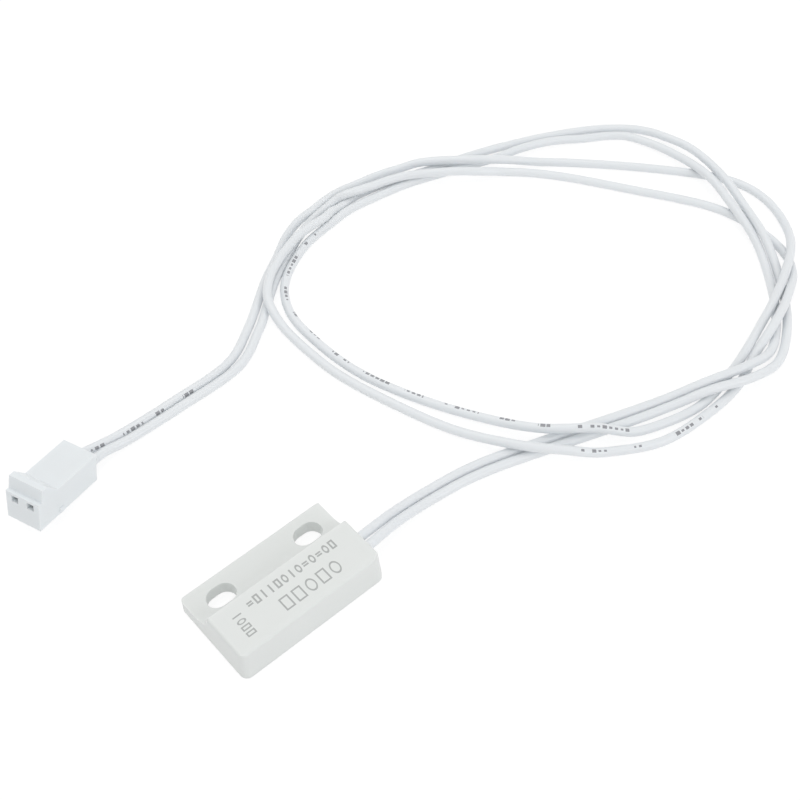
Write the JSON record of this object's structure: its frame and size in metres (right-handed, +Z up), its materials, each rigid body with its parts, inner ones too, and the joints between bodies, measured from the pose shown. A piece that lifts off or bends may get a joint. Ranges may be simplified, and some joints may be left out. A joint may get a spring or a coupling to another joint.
{
  "type": "flat magnetic proximity sensor with lead",
  "caption": "Small flat block-shaped float-level reed sensor with a slotted side flange, a loosely looped pair of thin wires and a small crimp connector.",
  "frame": {"origin": "bottom centre of the moulded sensor housing, on the face that lies on the mounting surface", "axes": "+X along the housing toward the lead, +Y toward the slotted flange, +Z up out of the mounting surface"},
  "size_m": [0.126, 0.0718, 0.0091],
  "materials": {
    "housing_plastic": "fine satin moulded plastic",
    "potting": "smooth cast resin",
    "glass": "clear drawn glass",
    "reed_metal": "plated nickel iron",
    "splice_metal": "tinned crimp sleeve",
    "strand_metal": "tinned copper strands",
    "insulation": "smooth soft vinyl",
    "connector_plastic": "natural translucent nylon",
    "contact_metal": "tinned stamped strip"
  },
  "bodies": {
    "root": {"sensor_housing": "housing_plastic", "potting_compound": "potting", "reed_glass": "glass", "reed_blade_near": "reed_metal", "reed_blade_far": "reed_metal", "splice_1": "splice_metal", "splice_2": "splice_metal", "conductor_1": "strand_metal", "conductor_2": "strand_metal", "wire_1": "insulation", "wire_2": "insulation", "connector_housing": "connector_plastic", "contact_1": "contact_metal", "contact_2": "contact_metal"}
  },
  "joints": []
}
